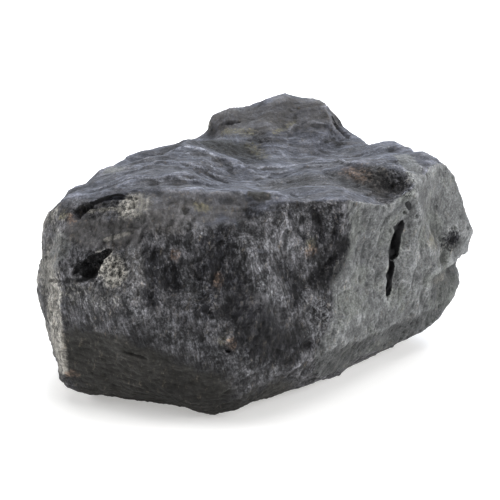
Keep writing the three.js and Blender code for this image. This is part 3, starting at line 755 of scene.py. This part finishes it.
def spared(skin, points, normals, relief):
    """Relief held back where a deep cut would come out through the lip above it."""
    tree = BVHTree.FromPolygons(points.tolist(), skin.triangles.tolist())
    room = np.full(len(points), DEEPEST_CUT)
    for i in np.nonzero(relief < -DEEP_CUT)[0]:
        start = Vector(points[i] - 0.1 * normals[i])
        thickness = tree.ray_cast(start, Vector(-normals[i]), 8)[3]
        if thickness is not None:
            room[i] = min(CUT_SHARE * thickness, DEEPEST_CUT)
    for _ in range(4):
        np.minimum.at(room, skin.ends, room[skin.others])
    return np.maximum(relief, -skin.averaged(room, 4))


def unfolded(skin, points):
    """The points relaxed wherever the relief has folded the surface over itself."""
    for _ in range(6):
        soft = skin.normals(skin.averaged(points, 6))
        a, b, c = (points[skin.triangles[:, i]] for i in range(3))
        turned = (np.cross(b - a, c - a) * soft[skin.triangles].sum(axis=1)).sum(axis=-1) < 0
        folded = np.zeros(len(points))
        folded[skin.triangles[turned]] = 1
        share = np.minimum(3 * skin.averaged(folded, 3), 1)[:, None]
        points = points + share * (skin.averaged(points, 3) - points)
    return points


def calmed(skin, calm, soft):
    """The skin's points without the small facets: sharp edges stay, apart from the worn ones."""
    off = skin.points - calm
    keep = ease(0.1, 0.3, np.abs((off * soft).sum(axis=-1)))[:, None]
    keep = keep * (1 - 0.6 * facing(soft, (0, 0, 1), 0.6, 0.9)[:, None])
    points = calm + off * keep
    worn = skin.averaged(calm, 120)
    return points + ease(0, 1.2, reach(points, WORN))[:, None] * (worn - points)


def grain_relief(points, here):
    """The relief of the stone's own grain. Each term is a height times noise of a size."""
    bent = warped(points, 7, 1.6, 11)
    breaks = 0.34 * shards(bent, 6.5, 20) + 0.22 * shards(bent, 2.8, 21) + 0.12 * shards(bent, 1.4, 22)
    rough = 0.65 + 0.45 * here["dark"] - 0.35 * here["olive"] - 0.42 * here["top"] - 0.45 * here["right"]
    swell = 0.2 * (1 - 0.5 * here["right"]) * layered(points, 9, 30, layers=2)
    beds = 0.13 * here["top"] * layered(bed_places(bent) * (0.14, 1, 1), 1.4, 32)
    fibres = layered(along(bent, FIBRE_RUN, 0.25), 1.5, 34, layers=2)
    fibre = 0.2 * here["front"] * (1 - here["olive"]) * fibres
    wrinkle = 0.16 * here["olive"] * layered(along(bent, WRINKLE_RUN, 0.14), 1.0, 36, layers=2)
    grit = here["grain"] * (0.34 * noise(points, 1.1, 38) - 0.34 * pits(points, 1.4, 39, share=0.6))
    pocks = 0.3 * here["right"] * pits(points, 1.4, 50, share=0.18)
    fine = 0.11 * (1 - 0.5 * here["top"] - 0.5 * here["right"]) * noise(points, 1.1, 40)
    return breaks * np.maximum(rough, 0.12) + swell + beds + fibre + wrinkle + grit - pocks + fine


def carved(skin):
    """The fine mesh's points after all the relief is cut into it."""
    calm = skin.averaged(skin.points, 30)
    soft = skin.normals(calm)
    points = calmed(skin, calm, soft)
    sunk = ease(0.6, 1.6, ((calm - points) * soft).sum(axis=-1))
    here = {name: ease(0.2, 0.8, field) for name, field in regions(points, soft).items()}
    relief = grain_relief(points, here) * (1 - 0.6 * sunk) - PULL_IN
    relief += swells(points) + edges(points) + creases(points) + holes(points)
    normals = skin.normals(skin.averaged(points, 3))
    relief = spared(skin, points, normals, relief)
    return unfolded(skin, points + relief[:, None] * normals)


def clipped(points):
    """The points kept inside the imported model's box."""
    return np.clip(points, np.array(cad_low) / MM, np.array(cad_high) / MM)


# --- stains and painted light: fields on the mesh ---


def crest_lines(points):
    """How near points are to the crests of the beds, which get a painted highlight: 1 on a crest and 0 from
    2 mm away.
    """
    total = np.zeros(len(points))
    for number, (line, towards, *_) in enumerate(EDGES):
        if towards is FRONT:
            chosen, _, offset, place = around(line, points, 4, EDGE_BEND, 400 + 10 * number)
            closeness = tapered(place, 0.1) * (1 - length_of(offset) / 2)
            total[chosen] = np.maximum(total[chosen], closeness)
    return total


def fields(skin):
    """Named numbers at each vertex that the material reads."""
    points = skin.points
    normals = skin.normals()
    calm = skin.averaged(points, 4)
    broad = skin.averaged(calm, 40)
    fine_height = ((points - calm) * normals).sum(axis=-1)
    broad_height = ((calm - broad) * normals).sum(axis=-1)
    here = regions(points, skin.normals(broad))
    drift = layered(points, 24, 700)
    high = ease(40, 47, points[:, 2])
    dusty = 0.42 + 0.62 * layered(points, 13, 720, layers=4, keep=0.7)
    pale_face = here["right"] - 0.3 * here["bevel"]
    found = {name: here[name] for name in STAINS_AND_PAINTED_LIGHT}
    found["pale"] = np.maximum.reduce([here["pale"], pale_face, here["hidden"] * (0.4 + drift)])
    found["dark"] = np.maximum(here["dark"], here["hidden"] * (0.3 - drift))
    # painted sheen on the high faces that look up, away from the pale skin
    found["blue"] = np.maximum(here["blue"], here["top"] * high * (1 - ease(0.2, 0.8, here["pale"])))
    found["flecked"] = np.maximum(here["flecked"], here["hidden"] * np.abs(drift) * 1.2)
    found["dust"] = np.maximum(here["dust"], here["left"] * dusty - here["olive"])
    # the bevel, which faces down, made darker with painted shade
    found["dark_tone_and_shade"] = np.maximum(here["dark_tone_and_shade"], here["bevel"])
    # the crests of the beds, which get a painted highlight
    found["crest"] = crest_lines(points)
    # painted shade: darker in the hollows
    found["hollow"] = np.clip(ease(0, 0.16, -fine_height) + ease(0.1, 0.9, -broad_height), 0, 1)
    found["worn"] = np.clip(ease(0, 0.16, fine_height) * 0.6 + ease(0.1, 0.8, broad_height), 0, 1)
    return found


# --- materials ---


class Pattern:
    """Short ways to lay down the nodes of one material. Patterns are measured in millimetres."""

    def __init__(self, name):
        self.material = bpy.data.materials.new(name)
        self.material.use_nodes = True
        self.nodes = self.material.node_tree.nodes
        self.links = self.material.node_tree.links
        self.nodes.clear()
        output = self.nodes.new("ShaderNodeOutputMaterial")
        self.shader = self.nodes.new("ShaderNodeBsdfPrincipled")
        self.links.new(self.shader.outputs["BSDF"], output.inputs["Surface"])
        self.place = self.nodes.new("ShaderNodeTexCoord").outputs["Object"]

    def put(self, socket, value):
        """Links an output to a socket, or sets the socket to a number or colour."""
        if isinstance(value, bpy.types.NodeSocket):
            self.links.new(value, socket)
        elif isinstance(value, tuple) and len(value) == 3 and socket.type == "RGBA":
            socket.default_value = (*value, 1)
        else:
            socket.default_value = value

    def field(self, name, kind="Fac"):
        """A number or a vector kept at the mesh's vertices."""
        node = self.nodes.new("ShaderNodeAttribute")
        node.attribute_name = name
        return node.outputs[kind]

    def noise(self, size, detail=4, rough=0.6, stretch=(1, 1, 1), turn=(0, 0, 0), bent=0.0, at=None):
        """Noise with features of a size in millimetres, drawn out by stretch along each axis."""
        mapping = self.nodes.new("ShaderNodeMapping")
        mapping.vector_type = "TEXTURE"
        mapping.inputs["Rotation"].default_value = [radians(angle) for angle in turn]
        mapping.inputs["Scale"].default_value = [MM * size * by for by in stretch]
        self.links.new(at or self.place, mapping.inputs["Vector"])
        node = self.nodes.new("ShaderNodeTexNoise")
        node.inputs["Scale"].default_value = 1
        node.inputs["Detail"].default_value = detail
        node.inputs["Roughness"].default_value = rough
        node.inputs["Distortion"].default_value = bent
        self.links.new(mapping.outputs["Vector"], node.inputs["Vector"])
        return node.outputs["Fac"]

    def span(self, value, low, high, to_low=0.0, to_high=1.0):
        """A value moved from one range to another, smoothly, and kept inside it."""
        node = self.nodes.new("ShaderNodeMapRange")
        node.interpolation_type = "SMOOTHSTEP"
        self.put(node.inputs["Value"], value)
        for name, number in zip(("From Min", "From Max", "To Min", "To Max"), (low, high, to_low, to_high)):
            node.inputs[name].default_value = number
        return node.outputs["Result"]

    def inside(self, field, eaten_by, amount, soft=0.12):
        """1 inside a field's edge and 0 outside, with noise eating into the edge."""
        eaten = self.math("MULTIPLY", self.math("SUBTRACT", eaten_by, 0.5), amount)
        return self.span(self.math("ADD", field, eaten), 0.5 - soft, 0.5 + soft)

    def times(self, *values):
        """The product of numbers."""
        total = values[0]
        for value in values[1:]:
            total = self.math("MULTIPLY", total, value)
        return total

    def without(self, share):
        """What a share leaves over."""
        return self.math("SUBTRACT", 1.0, share)

    def math(self, operation, first, second):
        """One operation on two numbers."""
        node = self.nodes.new("ShaderNodeMath")
        node.operation = operation
        self.put(node.inputs[0], first)
        self.put(node.inputs[1], second)
        return node.outputs[0]

    def mix(self, below, above, share, blend="MIX"):
        """A colour laid over another, as far as share says."""
        node = self.nodes.new("ShaderNodeMix")
        node.data_type = "RGBA"
        node.blend_type = blend
        self.put(node.inputs["Factor"], share)
        self.put([i for i in node.inputs if i.name == "A" and i.type == "RGBA"][0], below)
        self.put([i for i in node.inputs if i.name == "B" and i.type == "RGBA"][0], above)
        return [o for o in node.outputs if o.type == "RGBA"][0]

    def grey(self, value):
        """A number as a grey colour."""
        node = self.nodes.new("ShaderNodeCombineColor")
        for name in ("Red", "Green", "Blue"):
            self.put(node.inputs[name], value)
        return node.outputs["Color"]

    def bump(self, height, strength, reach):
        """Small relief, reach millimetres high, for the shader's normal."""
        node = self.nodes.new("ShaderNodeBump")
        node.inputs["Strength"].default_value = strength
        node.inputs["Distance"].default_value = reach * MM
        self.put(node.inputs["Height"], height)
        self.put(self.shader.inputs["Normal"], node.outputs["Normal"])


def stone_noises(p):
    """The noises that the stone's patterns are made of, in millimetres."""
    beds = p.field("bed place", "Vector")
    return SimpleNamespace(
        blotch=p.noise(9, detail=3),
        mottle=p.noise(3, detail=5, rough=0.65),
        speckle=p.noise(1, detail=5, rough=0.75),
        fleck=p.noise(0.5, detail=3, rough=0.7),
        glint=p.noise(0.8, rough=0.8),
        fibre=p.noise(0.9, detail=5, rough=0.7, stretch=(1, 1, 4), turn=(0, 12, 0)),
        scratch=p.noise(0.5, rough=0.75, stretch=(1, 1, 6), turn=(0, -15, 0), bent=0.3),
        wrinkle=p.noise(0.8, rough=0.7, stretch=(6, 1.5, 1), turn=(0, 6, -24), bent=0.4),
        bedding=p.noise(0.9, rough=0.65, stretch=(9, 1.6, 1), bent=0.6, at=beds),
        silk=p.noise(2.2, stretch=(6, 1.5, 1), bent=0.8, at=beds),
        flow=p.noise(5, detail=2, rough=0.5, stretch=(7, 2, 1.5), bent=0.4, at=beds),
    )


def stone_areas(p, n):
    """Where each mineral, each kind of grain, the painted sheen and the painted black shade show, 0 to 1.
    """

    def area(name, eaten_by, amount, soft=0.3):
        return p.inside(p.field(name), eaten_by, amount, soft)

    def specks(name, eaten_by, amount, *strength):
        return p.times(area(name, eaten_by, amount, 0.4), p.span(n.glint, *strength))

    # the painted sheen on the top, and below it that sheen where the grains don't break it
    blue = area("blue", n.silk, 1.8, 0.4)
    grains = area("grain", n.mottle, 1.5)
    return SimpleNamespace(
        pale=area("pale", n.fibre, 1.6, 0.12),
        dark=area("dark", n.fibre, 2.6, 0.2),
        blue=blue,
        sheen=p.times(blue, p.without(p.times(grains, 0.8))),
        olive=area("olive", n.mottle, 2.0),
        brown=area("brown", n.mottle, 2.0),
        calm=area("calm", n.mottle, 2.0),
        grains=grains,
        flecked=specks("flecked", n.fibre, 3.0, 0.46, 0.64, 0.0, 0.9),
        dust=specks("dust", n.glint, 1.6, 0.36, 0.6, 0.45, 1.0),
        ochre=specks("ochre", n.fibre, 2.6, 0.42, 0.6, 0.1, 0.75),
        rust=specks("rust", n.fibre, 2.6, 0.42, 0.6, 0.1, 0.8),
        # painted shade: black in the pits and in the cracks
        pit=area("pit", n.glint, 0.7, 0.1),
        black=area("black", n.glint, 0.6, 0.06),
    )


def painted_highlight_lines(p, n, a):
    """Painted highlights on the crests of the beds, and thin painted highlight lines between them, inside
    the painted sheen.
    """
    near_crest = p.math("ADD", p.field("crest"), p.times(p.math("SUBTRACT", n.speckle, 0.5), 0.5))
    crest = p.times(p.span(near_crest, 0.76, 0.9), p.span(n.mottle, 0.36, 0.5), a.sheen, 0.8)
    line = p.span(p.math("PINGPONG", n.flow, 0.06), 0.004, 0.016, 1.0, 0.0)
    broken_line = p.times(line, p.span(n.mottle, 0.45, 0.6))
    vein = p.math("MAXIMUM", broken_line, p.span(n.bedding, 0.57, 0.62, 0.0, 0.6))
    vein = p.times(a.blue, vein, p.span(n.silk, 0.4, 0.6), 0.5)
    return p.math("MAXIMUM", vein, crest)


def painted_glints(p, n, a):
    """Painted glints on the hackly surface: light scratches and flakes."""
    smooth = (a.pale, a.olive, a.brown, p.times(a.calm, 0.8))
    hackly = p.times(*[p.without(area) for area in smooth])
    flakes = p.times(p.span(n.scratch, 0.48, 0.62), p.span(n.glint, 0.4, 0.6), p.span(n.mottle, 0.4, 0.6))
    return p.times(flakes, hackly, p.span(n.blotch, 0.44, 0.56, 0.3, 1.0), 0.75)


def minerals_and_painted_light(p, n, a):
    """The stone's colour before its grain: one mineral laid over another, and painted sheen, highlights and
    glints among them.
    """
    colour = p.mix(DARK_GREY, MID_GREY, p.span(n.mottle, 0.38, 0.6))
    for pigment, share in (
        (PALE_SKIN, p.times(a.pale, p.span(n.mottle, 0.25, 0.6, 0.6, 1.0))),
        (PALE_GREEN, p.times(a.pale, p.span(n.blotch, 0.5, 0.62, 0.0, 0.6))),
        (PAINTED_BLUE_SHEEN, p.times(a.sheen, p.span(n.silk, 0.4, 0.58, 0.3, 1.0))),
        (PAINTED_CREST_HIGHLIGHT, painted_highlight_lines(p, n, a)),
        (MAGNETITE, p.times(a.dark, p.span(n.fibre, 0.42, 0.6, 1.0, 0.35))),
        (BROWN, p.times(a.brown, p.span(n.mottle, 0.35, 0.6, 0.9, 0.5))),
        (OLIVE, p.times(a.olive, 0.85)),
        (PAINTED_GLINT, painted_glints(p, n, a)),
        (FLECK, a.flecked),
        (DUST, a.dust),
        (OCHRE, a.ochre),
        (RUST, a.rust),
    ):
        colour = p.mix(colour, pigment, share)
    return colour


def grained(p, n, a, colour):
    """The colour made lighter and darker by the grain of each area."""
    rough = p.times(
        p.span(n.scratch, 0.38, 0.62, 0.5, 1.6),
        p.span(n.fleck, 0.36, 0.64, 0.6, 1.4),
        p.span(n.mottle, 0.4, 0.6, 0.75, 1.2),
    )
    smooth = p.times(
        p.span(n.fibre, 0.35, 0.65, 0.85, 1.12),
        p.span(n.blotch, 0.4, 0.6, 0.86, 1.12),
        p.span(n.glint, 0.36, 0.4, 0.35, 1.0),
        p.span(n.mottle, 0.38, 0.62, 0.86, 1.12),
        p.span(n.speckle, 0.38, 0.62, 0.84, 1.16),
        p.span(n.fleck, 0.36, 0.64, 0.75, 1.25),
    )
    silky = p.times(p.span(n.bedding, 0.38, 0.62, 0.5, 1.25), p.span(n.fleck, 0.35, 0.65, 0.8, 1.2))
    not_silky = p.math("MAXIMUM", p.times(a.brown, 0.7), a.grains)
    grain = p.mix(p.grey(rough), p.grey(smooth), a.pale)
    for kind, share in (
        # the silky streaks of the painted sheen
        (silky, p.times(a.sheen, 0.75, p.without(not_silky))),
        (p.span(n.glint, 0.42, 0.58, 0.15, 1.7), p.times(a.grains, 0.8)),
        (p.span(n.wrinkle, 0.35, 0.65, 0.6, 1.4), p.times(a.olive, 0.8)),
        (1.0, p.times(a.calm, 0.65)),
    ):
        grain = p.mix(grain, p.grey(kind), share)
    return p.mix(colour, grain, 1.0, blend="MULTIPLY")


def shaded(p, n, a, colour):
    """The colour with painted shade in hollows, painted shade and a darker tone at some marks, lighter on
    worn places and at other marks, and painted black shade in pits and cracks.
    """
    for darker, lighter in (
        # painted shade: darker in the hollows; lighter on worn places
        (p.span(p.field("hollow"), 0, 1, 1.0, 0.5), p.span(p.field("worn"), 0, 1, 0.9, 1.6)),
        # darker at marks of painted shade and darker tone, lighter at the lightened marks
        (p.span(p.field("dark_tone_and_shade"), 0, 1.1, 1.0, 0.55), p.span(p.field("lightened"), 0, 1.1, 1.0, 1.45)),
    ):
        colour = p.mix(colour, p.grey(p.times(darker, lighter)), 1.0, blend="MULTIPLY")
    # painted shade: black in the pits and hollows, then in the cracks and slits
    colour = p.mix(colour, PAINTED_SHADE_BLACK, p.times(a.pit, p.span(n.glint, 0.42, 0.56, 0.95, 0.2)))
    return p.mix(colour, PAINTED_SHADE_BLACK, p.times(a.black, 0.98))


def stone_material():
    """Magnetite: dark grains under a weathered grey skin, with beds, dust and rust, and with painted sheen,
    highlights, glints and shade.
    """
    p = Pattern("magnetite")
    n = stone_noises(p)
    a = stone_areas(p, n)
    p.put(p.shader.inputs["Base Color"], shaded(p, n, a, grained(p, n, a, minerals_and_painted_light(p, n, a))))
    p.put(p.shader.inputs["Roughness"], p.span(n.speckle, 0.3, 0.7, 0.68, 0.92))
    p.put(p.shader.inputs["Metallic"], 0.0)
    p.put(p.shader.inputs["IOR"], 1.5)
    p.put(p.shader.inputs["Specular IOR Level"], 0.25)
    p.bump(p.math("ADD", p.times(n.speckle, 0.7), p.times(n.fleck, 0.3)), 0.9, 0.35)
    return p.material


def floor_material():
    """A pale floor that the light leaves nearly white."""
    p = Pattern("floor")
    p.put(p.shader.inputs["Base Color"], (0.80, 0.80, 0.80))
    p.put(p.shader.inputs["Roughness"], 0.9)
    p.put(p.shader.inputs["Emission Color"], (1.0, 0.99, 0.97))
    p.put(p.shader.inputs["Emission Strength"], 0.38)
    return p.material


# --- the stone ---


def stone_mesh(node):
    """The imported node's shape, carved and thinned, with the fields that the material reads."""
    points, triangles = arrays_of(node.data)
    points, triangles = modified(points / MM, triangles, "REMESH", mode="VOXEL", voxel_size=VOXEL)
    points, triangles = largest_piece(points, triangles)
    points = carved(Skin(points, triangles))
    share = TRIANGLES / len(triangles)
    points, triangles = modified(points, triangles, "DECIMATE", ratio=share)
    skin = Skin(clipped(points), triangles)
    mesh = mesh_of("stone", skin.points * MM, skin.triangles)
    for name, values in fields(skin).items():
        layer = mesh.attributes.new(name, "FLOAT", "POINT")
        layer.data.foreach_set("value", values.astype(np.float32))
    layer = mesh.attributes.new("bed place", "FLOAT_VECTOR", "POINT")
    layer.data.foreach_set("vector", (bed_places(skin.points) * MM).astype(np.float32).ravel())
    mesh.shade_smooth()
    return mesh


def make_stone(node):
    """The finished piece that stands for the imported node."""
    mesh = stone_mesh(node)
    mesh.materials.append(stone_material())
    piece = bpy.data.objects.new("stone", mesh)
    bpy.context.scene.collection.objects.link(piece)
    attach(piece, "root")
    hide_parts(NODE)
    return piece


# --- floor, lights and camera ---

AIM = Vector((-0.00193, -0.01074, 0.027))
DISTANCE = 0.430
ELEVATION = radians(20)
SENSOR, LENS = 36, 134.37  # in millimetres
SHIFT = (-0.006, 0.024)
LIT_POINT = Vector((0, 0, 0.02))
# Area lights: name, place, size, power and colour.
WHITE, SKY = (1, 1, 1), (0.78, 0.86, 1.0)
LIGHTS = [
    ("ceiling", (0.10, 0.30, 1.00), (1.4, 1.2), 15, WHITE),
    ("back", (0.15, 0.90, 0.55), (0.5, 0.3), 8, SKY),
    ("right", (0.80, -0.20, 0.40), (0.6, 0.5), 6.5, WHITE),
    ("left", (-0.80, 0.10, 0.35), (0.5, 0.4), 4.5, WHITE),
]
WORLD_STRENGTH = 0.16


def add_floor():
    bpy.ops.mesh.primitive_plane_add(size=8)
    floor = bpy.context.object
    floor.name = "floor"
    floor.data.materials.append(floor_material())


def add_light(name, place, size, power, colour):
    data = bpy.data.lights.new(name, "AREA")
    data.shape = "RECTANGLE"
    data.size, data.size_y = size
    data.energy = power
    data.color = colour
    light = bpy.data.objects.new(name, data)
    bpy.context.scene.collection.objects.link(light)
    light.location = place
    light.rotation_euler = (LIT_POINT - Vector(place)).to_track_quat("-Z", "Y").to_euler()


def add_world():
    world = bpy.data.worlds.new("studio")
    world.use_nodes = True
    background = world.node_tree.nodes["Background"]
    background.inputs["Color"].default_value = (*WHITE, 1)
    background.inputs["Strength"].default_value = WORLD_STRENGTH
    bpy.context.scene.world = world


def add_camera():
    data = bpy.data.cameras.new("camera")
    data.sensor_width = SENSOR
    data.lens = LENS
    data.shift_x, data.shift_y = SHIFT
    data.clip_start, data.clip_end = 0.01, 20
    camera = bpy.data.objects.new("camera", data)
    bpy.context.scene.collection.objects.link(camera)
    back = Vector((0, -cos(ELEVATION), sin(ELEVATION)))
    camera.location = AIM + back * DISTANCE
    camera.rotation_euler = (-back).to_track_quat("-Z", "Y").to_euler()
    bpy.context.scene.camera = camera


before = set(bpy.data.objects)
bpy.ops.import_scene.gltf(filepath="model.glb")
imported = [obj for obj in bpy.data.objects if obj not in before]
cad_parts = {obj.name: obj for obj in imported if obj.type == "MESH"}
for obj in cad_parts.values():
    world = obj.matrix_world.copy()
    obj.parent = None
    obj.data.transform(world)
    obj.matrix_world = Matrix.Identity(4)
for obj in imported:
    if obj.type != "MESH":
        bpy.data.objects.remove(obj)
cad_low, cad_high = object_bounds()

add_camera()
make_stone(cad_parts[NODE])
add_floor()
for light in LIGHTS:
    add_light(*light)
add_world()
bpy.context.scene.view_settings.view_transform = "Standard"
